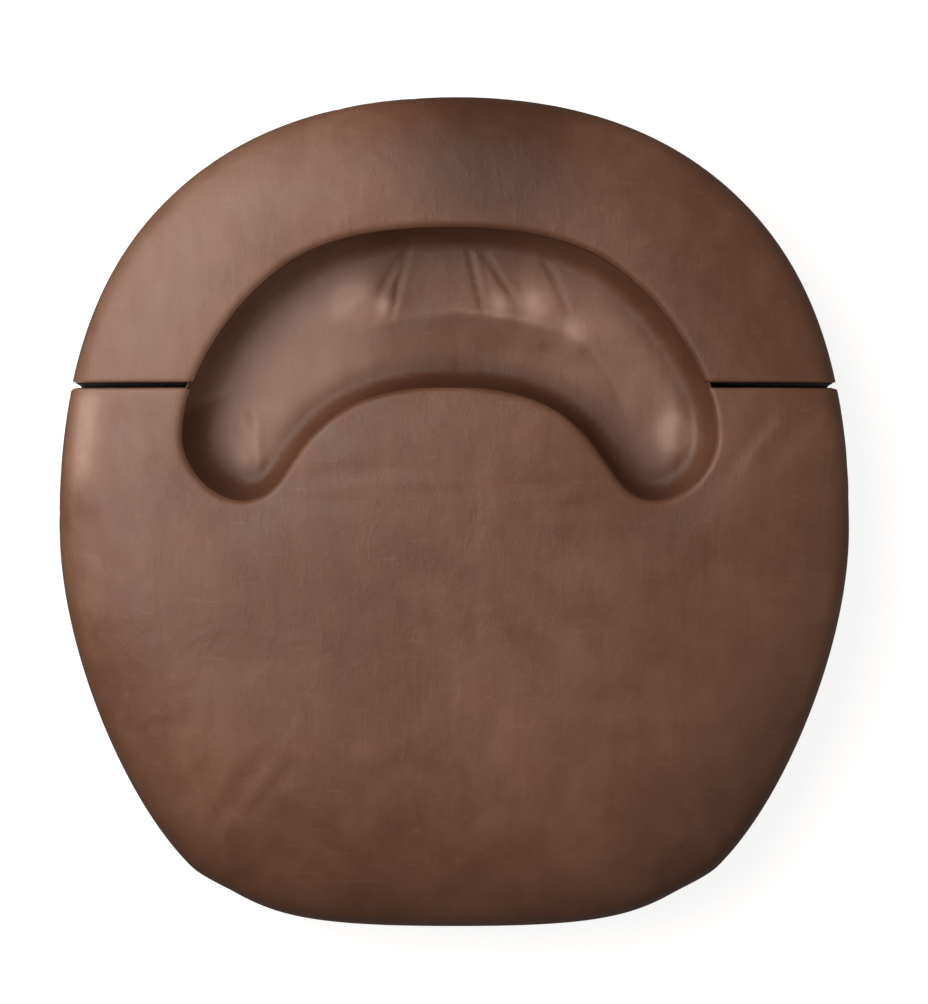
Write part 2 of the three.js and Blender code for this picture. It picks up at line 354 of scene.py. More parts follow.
def wanders(x, y, seed, size):
    # a smooth wandering height, made of a few crossed waves
    rng = random.Random(seed)
    total = np.zeros_like(x)
    waves = 7
    for _ in range(waves):
        angle = rng.uniform(0, math.pi)
        length = size * rng.uniform(0.6, 1.7)
        shift = rng.uniform(0, 2 * math.pi)
        total += np.sin((x * math.cos(angle) + y * math.sin(angle)) * 2 * math.pi / length + shift)
    return total / waves


def topHeight(x, y, toOutline, toTrough, toSlit):
    c = cushion
    rear = step(-y, 40, 190)
    shoulder = c["shoulder"] + (c["rearShoulder"] - c["shoulder"]) * rear
    width = c["shoulderWidth"] * (1 + 0.5 * rear)
    edge = roll(toOutline, c["edgeRoll"], c["edgeRoll"])
    rim = roll(toTrough, c["rimRoll"], c["rimRoll"])
    slit = roll(toSlit, c["slitRoll"], c["slitRoll"])
    drop = (edge ** 4 + rim ** 4 + slit ** 4) ** 0.25
    fall = shoulder * np.exp(-(toOutline / width) ** 1.3)
    fall += c["crown"] * np.exp(-toOutline / c["crownWidth"])
    sunk = c["troughSink"] * np.exp(-toTrough / 14) + c["slitSink"] * np.exp(-toSlit / 9)
    return c["top"] - fall - sunk - drop + c["unevenness"] * wanders(x, y, 4, 120)


def slitGap(points, level):
    # the distance from each point to the nearer slit
    leftX, rightX = xAt(trough, level, -1), xAt(trough, level)
    inner = np.where(points[:, 0] < 0, leftX, rightX)
    along = np.clip(inner - np.abs(points[:, 0]), 0, None)
    return np.hypot(points[:, 1] - level, along)


# how far the cover's colour moves away from plain: painted highlights and sheen up, painted shade and
# darker patches down
coverLightAndShade = {
    "plain": 0.5,
    "rearEdge": 0.40,        # painted shade round the body end's edge
    "rightEdge": 0.12,       # the share of it along the right side
    "right": 0.10,           # painted shade over the right half
    "outline": 0.22,         # painted shade, a thin dark line along the very edge
    "outlineWidth": 1.6,
    "headPatch": 0.50,       # dark patch in the middle of the head end
    "headPatchX": 24.0,
    "headPatchWidth": 52.0,
    "upperLeft": 0.20,       # painted sheen over the upper left
    "lowerLeft": 0.05,
    "leftWear": 0.42,        # painted highlight inside the left edge
    "leftWearInset": 12.0,
    "leftWearWidth": 7.0,
    "rim": 0.08,             # painted highlight along the trough's right rim
    "rimWidth": 1.6,
    "tongue": 0.16,          # painted shade on the tongue's rim
    "tongueWidth": 9.0,
}


# painted light and shade on the covers, as a tone mixed into the vinyl's colour
def paintCoverShading(points):
    s = coverLightAndShade
    x, y = points[:, 0], points[:, 1]
    toOutline = awayFrom(points[:, :2], outline)
    toTrough = awayFrom(points[:, :2], trough)
    rear = step(-y, 60, 200)
    lower = np.maximum(rear, step(x, 70, 200) * s["rightEdge"])
    shade = s["plain"] - s["rearEdge"] * lower * np.exp(-(toOutline / (12 + 18 * rear)) ** 1.4)
    shade -= s["right"] * step(x, 20, 150) * (1 - 0.9 * step(x, 150, 205))
    shade -= s["outline"] * np.exp(-toOutline / s["outlineWidth"])
    patch = np.exp(-(np.abs(x - s["headPatchX"]) / s["headPatchWidth"]) ** 3)
    shade -= s["headPatch"] * patch * step(y, 115, 200)
    shade += s["upperLeft"] * step(-x, 25, 150) * step(y, -60, 140)
    shade -= s["lowerLeft"] * (1 - step(np.abs(x + 90), 0, 90)) * (1 - step(np.abs(y + 45), 20, 120))
    left = step(-x, 120, 190) * step(y, 5, 30) * (1 - step(y, 60, 72))
    shade += s["leftWear"] * left * np.exp(-((toOutline - s["leftWearInset"]) / s["leftWearWidth"]) ** 2)
    rim = step(x, 70, 140) * (1 - step(y, 40, 70)) * step(y, -5, 15)
    shade += s["rim"] * rim * np.exp(-((toTrough - 1.5) / s["rimWidth"]) ** 2)
    tongue = step(-np.abs(x), -75, -20) * (1 - step(y, 70, 90))
    shade -= s["tongue"] * (1 - step(toTrough, 0, s["tongueWidth"])) * tongue
    return np.clip(shade, 0, 1).astype(np.float32)


def buildCushion(name, loop, level):
    # a closed bag of vinyl: the padded top, the underside and rows of wall between them
    c = cushion
    rings = [0.18, 0.6, 1.3, 2.4, 4.0, 6.2, 8.8]
    flat, faces, edge = planMesh(loop, c["edgeSpacing"], rings, c["spacing"])
    toOutline = awayFrom(flat, outline)
    toTrough = awayFrom(flat, trough)
    toSlit = slitGap(flat, level)
    top = topHeight(flat[:, 0], flat[:, 1], toOutline, toTrough, toSlit)
    bottom = c["bottom"] + roll(awayFrom(flat, loop), c["bottomRoll"], c["bottomRoll"])
    count = len(flat)
    points = [np.column_stack([flat, top]), np.column_stack([flat, bottom])]
    faceList = [tuple(f) for f in faces] + [tuple(reversed([v + count for v in f])) for f in faces]
    rows = [edge]
    base = 2 * count
    for k in range(1, c["wallLevels"]):
        t = k / c["wallLevels"]
        z = top[edge] * (1 - t) + bottom[edge] * t
        points.append(np.column_stack([flat[edge], z]))
        rows.append(np.arange(base, base + len(edge)))
        base += len(edge)
    rows.append(edge + count)
    onward = np.roll(np.arange(len(edge)), -1)
    for upper, lower in zip(rows, rows[1:]):
        for i in range(len(edge)):
            j = onward[i]
            faceList.append((upper[i], lower[i], lower[j], upper[j]))
    piece = makeObject(name, np.concatenate(points), faceList)
    # painted light and shade for the cover, kept as an attribute
    shade = paintCoverShading(coordinates(piece))
    piece.data.attributes.new("polish", "FLOAT", "POINT").data.foreach_set("value", shade)
    faceOutwards(piece)
    swell(piece, level)
    trimCushion(piece, loop)
    return piece


def swell(piece, level):
    # the padding presses the cover out a little; the board and the sewn rim hold it
    c = cushion
    rest = coordinates(piece)
    held = piece.vertex_groups.new(name="held")
    toTrough = awayFrom(rest[:, :2], trough)
    toSlit = slitGap(rest[:, :2], level)
    fixed = (rest[:, 2] < c["boardTop"]) | (toTrough < 4) | (toSlit < 3)
    held.add(np.flatnonzero(fixed).tolist(), 1.0, "REPLACE")
    choose(piece)
    cloth = piece.modifiers.new("padding", "CLOTH")
    cloth.settings.quality = 5
    cloth.settings.mass = 0.4
    cloth.settings.tension_stiffness = 15
    cloth.settings.compression_stiffness = 15
    cloth.settings.shear_stiffness = 8
    cloth.settings.bending_stiffness = 2.5
    cloth.settings.use_pressure = True
    cloth.settings.uniform_pressure_force = c["pressure"]
    cloth.settings.vertex_group_mass = "held"
    cloth.settings.effector_weights.gravity = 0
    cloth.collision_settings.use_collision = False
    cloth.point_cache.frame_start = 1
    cloth.point_cache.frame_end = c["frames"]
    scene = bpy.context.scene
    for number in range(1, c["frames"] + 1):
        scene.frame_set(number)
    shaped = piece.evaluated_get(bpy.context.evaluated_depsgraph_get())
    moved = np.empty(len(shaped.data.vertices) * 3)
    shaped.data.vertices.foreach_get("co", moved)
    moved = moved.reshape(-1, 3) / mm
    piece.modifiers.remove(cloth)
    scene.frame_set(1)
    change = moved - rest
    size = np.linalg.norm(change, axis=1)
    print(piece.name, "swelled up to", round(float(size.max()), 1), "mm")
    limit = c["swell"] * (1 - np.exp(-size / c["swell"]))
    free = step(toTrough, 2, 26) * step(toSlit, 2, 22)
    change *= (limit * free / np.maximum(size, 1e-9))[:, None]
    outwards = np.linalg.norm(change[:, :2], axis=1)
    change[:, :2] *= np.minimum(1, c["sideways"] / np.maximum(outwards, 1e-9))[:, None]
    setCoordinates(piece, rest + change)
    piece.vertex_groups.remove(held)


def trimCushion(piece, loop):
    # opens the underside inside the hem and the trough wall below the seam, then thickens the skin
    c = cushion
    points = coordinates(piece)
    mesh = piece.data
    centres = np.empty(len(mesh.polygons) * 3)
    mesh.polygons.foreach_get("center", centres)
    centres = centres.reshape(-1, 3) / mm
    normals = np.empty(len(mesh.polygons) * 3)
    mesh.polygons.foreach_get("normal", normals)
    normals = normals.reshape(-1, 3)
    toEdge = awayFrom(centres[:, :2], loop)
    toTrough = awayFrom(centres[:, :2], trough)
    low = centres[:, 2] < c["hemTop"]
    under = low & (toEdge > c["hem"])
    wall = (toTrough < 1.2) & (centres[:, 2] < c["seam"])
    nearSlit = slitGap(centres[:, :2], plan["slitLow"]) < 2.6
    farSlit = slitGap(centres[:, :2], plan["slitHigh"]) < 2.6
    wall &= ~(nearSlit | farSlit) | (np.abs(normals[:, 0]) > 0.8)
    hemInTrough = low & (toTrough < 3)
    selectOnly(piece, "FACE", under | wall | hemInTrough)
    bpy.ops.mesh.delete(type="FACE")
    bpy.ops.object.mode_set(mode="OBJECT")
    thicken(piece, c["skin"])


foam = {
    "inset": 3.2,        # from the cover's outline
    "under": 1.9,        # below the cover's face
    "base": 45.3,        # top of the firm layer
    "thinnest": 1.5,
    "edgeSpacing": 5.0,
    "spacing": 8.0,
    "eased": 0.8,        # rounding of the firm layer's edges
}


def buildFoam(name, loop, level):
    # the soft layer follows the cover's top from below
    f = foam
    edgeLoop = softened(evenly(loop + loopNormals(loop) * f["inset"], lineStep), 6)
    flat, faces, edge = planMesh(edgeLoop, f["edgeSpacing"], [1.0, 3.0, 6.0], f["spacing"])
    toTrough = np.maximum(awayFrom(flat, trough) - 1.5, 0)
    top = topHeight(flat[:, 0], flat[:, 1], awayFrom(flat, outline), toTrough, slitGap(flat, level))
    top = np.maximum(top - f["under"], f["base"] + f["thinnest"])
    bottom = f["base"] + roll(awayFrom(flat, edgeLoop), 1.2, 1.0)
    count = len(flat)
    points = np.concatenate([np.column_stack([flat, top]), np.column_stack([flat, bottom])])
    faceList = [tuple(f) for f in faces] + [tuple(v + count for v in f[::-1]) for f in faces]
    for i, start in enumerate(edge):
        end = edge[(i + 1) % len(edge)]
        faceList.append((start, start + count, end + count, end))
    piece = makeObject(name, points, faceList)
    faceOutwards(piece)
    return piece


def softenedCopy(name, nodeName, size):
    # a copy of a hidden block with its doubles merged and its edges eased
    piece = nodes[nodeName].copy()
    piece.data = nodes[nodeName].data.copy()
    piece.name = name
    piece.parent = None
    bpy.context.scene.collection.objects.link(piece)
    for key in list(piece.keys()):
        del piece[key]
    choose(piece)
    bpy.ops.object.mode_set(mode="EDIT")
    bpy.ops.mesh.select_all(action="SELECT")
    bpy.ops.mesh.remove_doubles(threshold=0.00002)
    bpy.ops.object.mode_set(mode="OBJECT")
    ease(piece, size, 40)
    return piece


# the trough lining

lining = {
    "top": 67.5,
    "floor": 33.0,
    "sag": 3.5,          # the body side of the floor hangs this much lower
    "wall": 13.5,        # how far the wall leans in
    "leftWall": 2.0,     # the left wall leans in this much more
    "rightWall": 1.5,    # the right wall this much less
    "headWall": 2.0,     # and the wall at the head end too
    "bow": 2.5,          # the wall's curve: how straight it starts
    "belly": 0.55,       # and how round it meets the floor
    "outside": 1.5,      # how far it reaches behind the covers
    "tuck": 4.0,         # height of the edge that is tucked up there
    "ridge": 0.25,       # height of the crease
    "unevenness": 0.35,
    "skin": 1.0,
    "edgeSpacing": 2.4,
    "spacing": 2.3,
    "blendStart": 70.9,  # levels in and just beyond the slits
    "blendEnd": 77.5,
}
# folds: (top x, top y, bottom x, bottom y, depth, width)
folds = [
    (-27, 148, -36, 110, 1.5, 1.1),
    (-31, 144, -44, 122, 1.0, 1.2),
    (8, 148, 16, 113, 1.5, 1.0),
    (17, 145, 35, 118, 1.4, 1.1),
    (50, 144, 64, 112, 0.7, 1.6),
    (-115, 54, -114, 24, 1.3, 1.3),
    (-122, 48, -117, 30, 0.9, 1.2),
]
# raised places: (x, y, height, size along, size across, turned)
mounds = [
    (-56, 118, 2.2, 15, 8, 0.7),
    (-38, 116, 1.5, 8, 4, 1.3),
    (27, 118, 1.8, 10, 5, -1.2),
    (48, 118, 2.2, 11, 7, -0.9),
    (70, 103, 1.6, 12, 6, -0.8),
    (125, 45, 2.6, 18, 6, 1.45),
    (-112, 38, 2.0, 14, 6, 1.6),
]
creaseLine = np.array([
    (-78, 92), (-60, 101), (-32, 108), (0, 112), (18, 110), (37, 107),
    (62, 101), (76, 92.7), (90, 71.5), (100, 48), (108, 33),
], float)
# how far the lining's painted light and shade move away from plain
liningLightAndShade = {
    "plain": 0.50,
    "left": 0.16,        # painted light on the left end
    "right": 0.16,       # painted shade at the right end
    "floor": 0.17,       # painted shade on the walls, so the floor is paler
    "floorRight": 0.20,
    "floorLeft": 0.12,
    "inner": 0.12,       # painted shade on the body side of the crease
    "innerMiddle": 0.12,
    "crease": 0.16,      # painted highlight along the crease
    # painted shade on the tongue's and head end's walls and in the folds, painted highlights on the mounds
    "tongueWall": 0.32,
    "headWall": 0.20,
    "fold": 0.19,
    "mound": 0.27,
}


def alongLine(x, y, start, end):
    # how far along a line each point is, as a share, and how far to its left in millimetres
    run = np.array(end, float) - np.array(start, float)
    length = np.linalg.norm(run)
    run /= length
    t = ((x - start[0]) * run[0] + (y - start[1]) * run[1])
    side = -(x - start[0]) * run[1] + (y - start[1]) * run[0]
    return t / length, side


def signedCrease(x, y):
    # positive on the head side of the crease
    line = evenly(creaseLine, 1.0, closed=False)
    points = np.column_stack([x, y])
    near = np.empty(len(points), int)
    for start in range(0, len(points), blockSize):
        gaps = ((points[start:start + blockSize, None] - line[None]) ** 2).sum(2)
        near[start:start + blockSize] = gaps.argmin(1)
    run = np.gradient(line, axis=0)
    run = (run / np.linalg.norm(run, axis=1)[:, None])[near]
    away = points - line[near]
    return run[:, 0] * away[:, 1] - run[:, 1] * away[:, 0], near / len(line)


def floorHeight(x, y):
    # the crease parts a high and a low side; folds run down into them and mounds stand up
    c = lining
    side, along = signedCrease(x, y)
    strength = step(along, 0.2, 0.45) * (1 - step(along, 0.7, 0.95))
    lower = (1 - step(side, -22, 3)) * strength + 0.5 * (1 - strength)
    height = c["floor"] - c["sag"] * lower
    height += c["ridge"] * strength * np.exp(-((side - 2.0) / 2.4) ** 2)
    for x0, y0, x1, y1, depth, width in folds:
        t, gap = alongLine(x, y, (x0, y0), (x1, y1))
        fade = step(t, -0.25, 0.05) * (1 - step(t, 0.8, 1.15))
        height -= fade * depth * np.exp(-(gap / width) ** 2)
        height += fade * depth * 0.22 * np.exp(-((gap - 3.2 * width) / (2.2 * width)) ** 2)
    for x0, y0, rise, long, wide, turn in mounds:
        dx, dy = x - x0, y - y0
        u = dx * math.cos(turn) + dy * math.sin(turn)
        v = -dx * math.sin(turn) + dy * math.cos(turn)
        height += rise * np.exp(-(u / long) ** 2 - (v / wide) ** 2)
    return height + c["unevenness"] * wanders(x, y, 9, 34)


# painted light and shade on the lining, as a tone mixed into the vinyl's colour
def paintLiningShading(x, y, gap, wall):
    s = liningLightAndShade
    polish = s["plain"] + s["left"] * step(-x, 40, 110) - s["right"] * step(x, 70, 120)
    polish += (s["floor"] + s["floorRight"] * step(x, 70, 120)) * step(gap, 0.35 * wall, 2.1 * wall)
    polish += s["floorLeft"] * step(-x, 30, 100) * step(gap, wall, 2.2 * wall)
    side, along = signedCrease(x, y)
    inner = 1 - step(side, -2, 2)
    middle = 1 - step(np.abs(x), 20, 70)
    polish -= s["inner"] * inner * step(along, 0.05, 0.3) * (1 - step(along, 0.85, 1.0))
    onCrease = np.exp(-((side - 2.6) / 1.2) ** 2) * step(along, 0.25, 0.4) * (1 - step(along, 0.5, 0.62))
    polish += s["crease"] * onCrease
    nearTongue = inner * (1 - step(gap, 0.5 * wall, 1.8 * wall))
    polish -= s["tongueWall"] * nearTongue * (1 - 0.7 * step(x, 60, 100))
    polish -= s["headWall"] * middle * step(y, 98, 118)
    polish -= s["innerMiddle"] * inner * middle
    for x0, y0, x1, y1, depth, width in folds:
        t, aside = alongLine(x, y, (x0, y0), (x1, y1))
        fade = step(t, -0.2, 0.1) * (1 - step(t, 0.7, 1.1))
        polish -= s["fold"] * depth * fade * np.exp(-(aside / width) ** 2)
    for x0, y0, rise, long, wide, turn in mounds:
        away = (x - x0) ** 2 + (y - y0) ** 2
        polish += s["mound"] * rise * np.exp(-away / (0.9 * long * wide))
    return np.clip(polish, 0, 1)


def buildLining():
    c = lining
    loop = trough - loopNormals(trough) * c["outside"]
    rings = [0.15, 0.5, 1.0, 1.8, 2.8, 4.0, 5.5, 7.2, 9.2]
    flat, faces, edge = planMesh(loop, c["edgeSpacing"], rings, c["spacing"])
    x, y = flat[:, 0], flat[:, 1]
    gap = awayFrom(flat, loop)
    gap[edge] = 0
    wall = c["wall"] + c["leftWall"] * step(-x, 60, 140) - c["rightWall"] * step(x, 60, 140)
    wall -= c["headWall"] * (1 - step(np.abs(x), 20, 90)) * step(y, 90, 130)
    t = 1 - np.clip(gap / (wall + c["outside"]), 0, 1)
    floor = floorHeight(x, y)
    z = floor + (c["top"] - floor) * (1 - np.clip(1 - t ** c["bow"], 0, 1) ** c["belly"])
    # a short edge tucked up behind the covers
    tuck = np.column_stack([flat[edge], np.full(len(edge), c["top"] + c["tuck"])])
    faceList = [tuple(f) for f in faces]
    for i in range(len(edge)):
        j = (i + 1) % len(edge)
        faceList.append((edge[i], edge[j], len(flat) + j, len(flat) + i))
    piece = makeObject("troughLining", np.concatenate([np.column_stack([flat, z]), tuck]), faceList)
    # painted light and shade for the lining; the tucked edge gets full painted shade
    shade = np.concatenate([paintLiningShading(x, y, gap, wall), np.zeros(len(tuck))])
    layer = piece.data.attributes.new("polish", "FLOAT", "POINT")
    layer.data.foreach_set("value", shade.astype(np.float32))
    faceOutwards(piece)
    if sum(p.normal.z * p.area for p in piece.data.polygons) < 0:  # an open sheet can come out face down
        bpy.ops.object.mode_set(mode="EDIT")
        bpy.ops.mesh.flip_normals()
        bpy.ops.object.mode_set(mode="OBJECT")
    thicken(piece, c["skin"])
    return piece


# finishes

def newMaterial(name):
    material = bpy.data.materials.new(name)
    material.use_nodes = True
    tree = material.node_tree
    return material, tree, tree.nodes["Principled BSDF"]


def add(tree, kind, **values):
    node = tree.nodes.new(kind)
    for key, value in values.items():
        setattr(node, key, value)
    return node


def place(tree, scale=(1, 1, 1), turn=(0, 0, 0)):
    where = add(tree, "ShaderNodeTexCoord")
    mapping = add(tree, "ShaderNodeMapping")
    mapping.inputs["Scale"].default_value = scale
    mapping.inputs["Rotation"].default_value = turn
    tree.links.new(where.outputs["Object"], mapping.inputs["Vector"])
    return mapping.outputs["Vector"]


def noise(tree, vector, scale, detail=4, roughness=0.55, distortion=0):
    node = add(tree, "ShaderNodeTexNoise")
    node.inputs["Scale"].default_value = scale
    node.inputs["Detail"].default_value = detail
    node.inputs["Roughness"].default_value = roughness
    node.inputs["Distortion"].default_value = distortion
    tree.links.new(vector, node.inputs["Vector"])
    return node.outputs["Fac"]


def spread(tree, value, low, high, toLow, toHigh):
    node = add(tree, "ShaderNodeMapRange")
    for socket, number in zip(("From Min", "From Max", "To Min", "To Max"), (low, high, toLow, toHigh)):
        node.inputs[socket].default_value = number
    tree.links.new(value, node.inputs["Value"])
    return node.outputs["Result"]


def ramp(tree, value, stops):
    node = add(tree, "ShaderNodeValToRGB")
    band = node.color_ramp
    while len(band.elements) < len(stops):
        band.elements.new(0.5)
    for element, (position, colour) in zip(band.elements, stops):
        element.position = position
        element.color = (*colour, 1)
    tree.links.new(value, node.inputs["Fac"])
    return node.outputs["Color"]


def mixed(tree, factor, a, b):
    # the colours are either sockets or plain values; sockets 6, 7 and 2 are the colour ones
    node = add(tree, "ShaderNodeMix", data_type="RGBA")
    tree.links.new(factor, node.inputs[0])
    for socket, source in ((6, a), (7, b)):
        if hasattr(source, "node"):
            tree.links.new(source, node.inputs[socket])
        else:
            node.inputs[socket].default_value = (*source, 1)
    return node.outputs[2]


def bump(tree, height, strength, distance, before=None):
    node = add(tree, "ShaderNodeBump")
    node.inputs["Strength"].default_value = strength
    node.inputs["Distance"].default_value = distance
    tree.links.new(height, node.inputs["Height"])
    if before is not None:
        tree.links.new(before, node.inputs["Normal"])
    return node.outputs["Normal"]


vinylLook = {
    "dark": (0.112, 0.045, 0.023),
    "middle": (0.148, 0.064, 0.035),
    "light": (0.190, 0.090, 0.053),
    "worn": (0.26, 0.140, 0.090),
    "pale": (0.38, 0.234, 0.176),   # painted highlights and sheen
    "deep": (0.063, 0.020, 0.007),  # painted shade on edges and the walls of the trough
}


vinylGrain = {
    "cloud": 11,          # scales of the patterns, coarse to fine
    "crumple": 34,
    "smudge": 55,
    "brushed": 70,
    "scuff": 150,
    "streak": 260,
    "scratch": 420,
    "pores": 620,
    "paleSmudge": 0.30,   # how much each one colours the vinyl
    "darkSmudge": 0.25,
    "darkStreak": 0.28,
    "paleScratch": 0.22,
    "brushShift": 0.05,
    # how far the painted light and shade move the colour
    "polished": 0.85,
    "glossy": 0.36,       # roughness of the shiniest and the dullest places
    "dull": 0.50,
}


def vinylMaterial(name, soft=0.0):
    look, g = vinylLook, vinylGrain
    material, tree, shader = newMaterial(name)
    plain = place(tree)
    upright = place(tree, (1, 0.09, 1))
    level = place(tree, (0.12, 1, 1), (0, 0, 0.06))
    cloud = noise(tree, plain, g["cloud"], 5, 0.6, 0.4)
    smudge = noise(tree, plain, g["smudge"], 6, 0.6, 0.25)
    brushed = noise(tree, place(tree, (1, 0.3, 1), (0, 0, -0.25)), g["brushed"], 5, 0.65, 0.2)
    streak = noise(tree, upright, g["streak"], 3, 0.6)
    scratch = noise(tree, level, g["scratch"], 2, 0.5, 0.3)
    base = ramp(tree, cloud, [(0.3, look["dark"]), (0.5, look["middle"]), (0.7, look["light"])])
    base = mixed(tree, spread(tree, smudge, 0.45, 0.72, 0, g["paleSmudge"]), base, look["light"])
    base = mixed(tree, spread(tree, smudge, 0.48, 0.30, 0, g["darkSmudge"]), base, look["dark"])
    base = mixed(tree, spread(tree, streak, 0.54, 0.70, 0, g["darkStreak"]), base, look["dark"])
    base = mixed(tree, spread(tree, scratch, 0.66, 0.74, 0, g["paleScratch"]), base, look["worn"])
    # the attribute of painted light and shade is 0.5 where nothing is painted
    polish = add(tree, "ShaderNodeAttribute", attribute_name="polish")
    # the painted light and shade, plus a small random brushed tone
    shadingPlusBrush = add(tree, "ShaderNodeMath", operation="ADD")
    tree.links.new(polish.outputs["Fac"], shadingPlusBrush.inputs[0])
    shift = g["brushShift"]
    tree.links.new(spread(tree, brushed, 0.3, 0.7, -shift, shift), shadingPlusBrush.inputs[1])
    worn = shadingPlusBrush.outputs[0]
    # below 0.5 the mix goes towards the painted shade colour, above it towards the painted highlight colour
    base = mixed(tree, spread(tree, worn, 0.5, 0.0, 0, g["polished"]), base, look["deep"])
    base = mixed(tree, spread(tree, worn, 0.5, 1.0, 0, g["polished"]), base, look["pale"])
    tree.links.new(base, shader.inputs["Base Color"])
    rough = spread(tree, smudge, 0.3, 0.7, g["glossy"] + soft, g["dull"] + soft)
    tree.links.new(rough, shader.inputs["Roughness"])
    shader.inputs["IOR"].default_value = 1.46
    grain = add(tree, "ShaderNodeTexVoronoi", feature="DISTANCE_TO_EDGE")
    grain.inputs["Scale"].default_value = g["pores"]
    tree.links.new(plain, grain.inputs["Vector"])
    pores = spread(tree, grain.outputs["Distance"], 0.0, 0.25, 0, 1)
    normal = bump(tree, noise(tree, plain, g["crumple"], 3, 0.5, 0.5), 0.4, 0.0014)
    normal = bump(tree, smudge, 0.3, 0.0004, normal)
    scuff = noise(tree, place(tree, (1, 0.4, 1), (0, 0, 0.5)), g["scuff"], 4, 0.6, 1.4)
    normal = bump(tree, spread(tree, scuff, 0.5, 0.7, 0, 1), 0.14, 0.0005, normal)
    normal = bump(tree, pores, 0.16, 0.00012, normal)
    tree.links.new(normal, shader.inputs["Normal"])
    return material


def foamMaterial(name, light, dark, cell):
    material, tree, shader = newMaterial(name)
    plain = place(tree)
    cells = add(tree, "ShaderNodeTexVoronoi")
    cells.inputs["Scale"].default_value = cell
    tree.links.new(plain, cells.inputs["Vector"])
    cloud = noise(tree, plain, 30, 4)
    colour = ramp(tree, cells.outputs["Distance"], [(0.1, dark), (0.6, light)])
    colour = mixed(tree, spread(tree, cloud, 0.35, 0.7, 0, 0.4), colour, dark)
    tree.links.new(colour, shader.inputs["Base Color"])
    shader.inputs["Roughness"].default_value = 0.95
    shader.inputs["Sheen Weight"].default_value = 0.15
    tree.links.new(bump(tree, cells.outputs["Distance"], 0.7, 0.0006), shader.inputs["Normal"])
    return material


plyLook = {
    "dark": (0.33, 0.19, 0.09),
    "middle": (0.50, 0.33, 0.18),
    "light": (0.60, 0.43, 0.26),
    "glue": (0.28, 0.16, 0.08),
}


def plyMaterial(name):
    look = plyLook
    material, tree, shader = newMaterial(name)
    fibres = place(tree, (6, 0.6, 1))
    layers = add(tree, "ShaderNodeTexWave", bands_direction="Z")
    layers.inputs["Scale"].default_value = 52
    layers.inputs["Distortion"].default_value = 1.2
    tree.links.new(place(tree), layers.inputs["Vector"])
    grain = noise(tree, fibres, 60, 8, 0.65, 1.2)
    colour = ramp(tree, grain, [(0.3, look["dark"]), (0.55, look["middle"]), (0.75, look["light"])])
    colour = mixed(tree, spread(tree, layers.outputs["Fac"], 0.3, 0.8, 0, 0.4), colour, look["glue"])
    tree.links.new(colour, shader.inputs["Base Color"])
    tree.links.new(spread(tree, grain, 0.3, 0.7, 0.62, 0.82), shader.inputs["Roughness"])
    tree.links.new(bump(tree, grain, 0.3, 0.0004), shader.inputs["Normal"])
    return material


def clothMaterial(name, light, dark, fine):
    material, tree, shader = newMaterial(name)
    plain = place(tree)
    fuzz = noise(tree, plain, fine, 5, 0.7, 0.6)
    cells = add(tree, "ShaderNodeTexVoronoi")
    cells.inputs["Scale"].default_value = fine * 0.6
    tree.links.new(plain, cells.inputs["Vector"])
    colour = ramp(tree, fuzz, [(0.35, dark), (0.7, light)])
    tree.links.new(colour, shader.inputs["Base Color"])
    tree.links.new(spread(tree, fuzz, 0.3, 0.7, 0.8, 0.97), shader.inputs["Roughness"])
    shader.inputs["Sheen Weight"].default_value = 0.12
    shader.inputs["Sheen Roughness"].default_value = 0.5
    normal = bump(tree, fuzz, 0.5, 0.0003)
    tree.links.new(bump(tree, cells.outputs["Distance"], 0.5, 0.0004, normal), shader.inputs["Normal"])
    return material


def metalMaterial(name, light, dark, low, high, stretch):
    material, tree, shader = newMaterial(name)
    lines = noise(tree, place(tree, stretch), 900, 3, 0.6)
    cloud = noise(tree, place(tree), 60, 4)
    colour = ramp(tree, cloud, [(0.3, dark), (0.7, light)])
    tree.links.new(colour, shader.inputs["Base Color"])
    shader.inputs["Metallic"].default_value = 1.0
    tree.links.new(spread(tree, lines, 0.3, 0.7, low, high), shader.inputs["Roughness"])
    tree.links.new(bump(tree, lines, 0.15, 0.0001), shader.inputs["Normal"])
    return material


def nylonMaterial(name):
    material, tree, shader = newMaterial(name)
    cloud = noise(tree, place(tree), 80, 4)
    colour = ramp(tree, cloud, [(0.3, (0.66, 0.64, 0.57)), (0.7, (0.78, 0.76, 0.69))])
    tree.links.new(colour, shader.inputs["Base Color"])
    tree.links.new(spread(tree, cloud, 0.3, 0.7, 0.42, 0.55), shader.inputs["Roughness"])
    shader.inputs["Subsurface Weight"].default_value = 0.1
    shader.inputs["Subsurface Scale"].default_value = 0.002
    tree.links.new(bump(tree, noise(tree, place(tree), 700, 3), 0.15, 0.0001), shader.inputs["Normal"])
    return material


finishes = {
    "cover_vinyl": vinylMaterial("brownVinyl"),
    "lining_vinyl": vinylMaterial("liningVinyl", 0.08),
    "soft_foam": foamMaterial("softFoam", (0.80, 0.72, 0.50), (0.62, 0.53, 0.33), 700),
    "firm_foam": foamMaterial("firmFoam", (0.42, 0.47, 0.52), (0.26, 0.30, 0.34), 900),
    "plywood": plyMaterial("birchPly"),
    "dust_cloth": clothMaterial("dustCloth", (0.022, 0.021, 0.022), (0.007, 0.006, 0.006), 900),
    "hook_strip": clothMaterial("hookTape", (0.085, 0.083, 0.088), (0.018, 0.017, 0.020), 1500),
    "steel_rod": metalMaterial(
        "groundSteel", (0.72, 0.73, 0.74), (0.58, 0.59, 0.61), 0.16, 0.30, (1, 0.04, 1)),
    "zinc_steel": metalMaterial("zincPlate", (0.66, 0.67, 0.68), (0.48, 0.50, 0.52), 0.28, 0.46, (1, 1, 1)),
    "nylon": nylonMaterial("nylon"),
}
